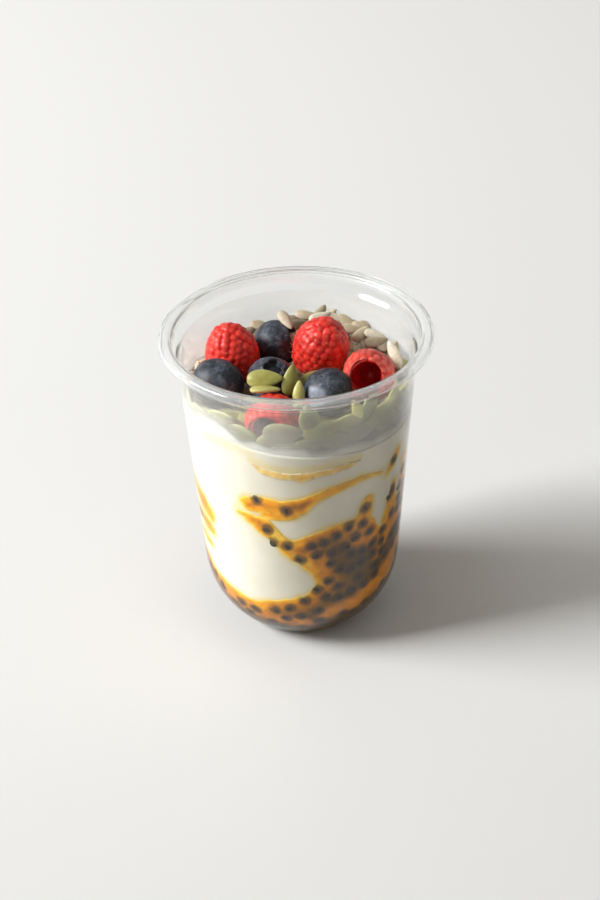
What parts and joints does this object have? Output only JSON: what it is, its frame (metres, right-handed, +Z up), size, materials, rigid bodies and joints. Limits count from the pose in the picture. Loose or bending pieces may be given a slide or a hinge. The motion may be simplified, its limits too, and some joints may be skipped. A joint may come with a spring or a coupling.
{
  "type": "layered yogurt cup",
  "caption": "Clear round-bottomed cup of yogurt marbled with passion fruit pulp, topped with seeds, raspberries and blueberries.",
  "frame": {"origin": "centre of the cup's foot, on the table", "axes": "+Z up through the middle of the cup; -Y is the front, where the fork-shaped swirl and the leaning raspberry are"},
  "size_m": [0.095, 0.095, 0.115],
  "materials": {
    "clear_plastic": "clear, thin, glossy",
    "yogurt": "moist, satin",
    "pulp": "wet jelly with dark seeds",
    "pulp_streak": "wet jelly thinned with yogurt",
    "sunflower_kernel": "dry, matt",
    "pumpkin_kernel": "dry, silky",
    "raspberry": "soft, velvety with a moist sheen",
    "blueberry": "waxy bloom"
  },
  "bodies": {
    "root": {"cup": "clear_plastic", "yogurt": "yogurt", "pulp": "pulp", "upper_swirl": "pulp_streak", "left_swirl": "pulp_streak", "sunflower_seeds": "sunflower_kernel", "pumpkin_seeds": "pumpkin_kernel", "raspberry_left": "raspberry", "raspberry_middle": "raspberry", "raspberry_right": "raspberry", "raspberry_front": "raspberry", "blueberry_left": "blueberry", "blueberry_back": "blueberry", "blueberry_middle": "blueberry", "blueberry_front": "blueberry"}
  },
  "joints": []
}
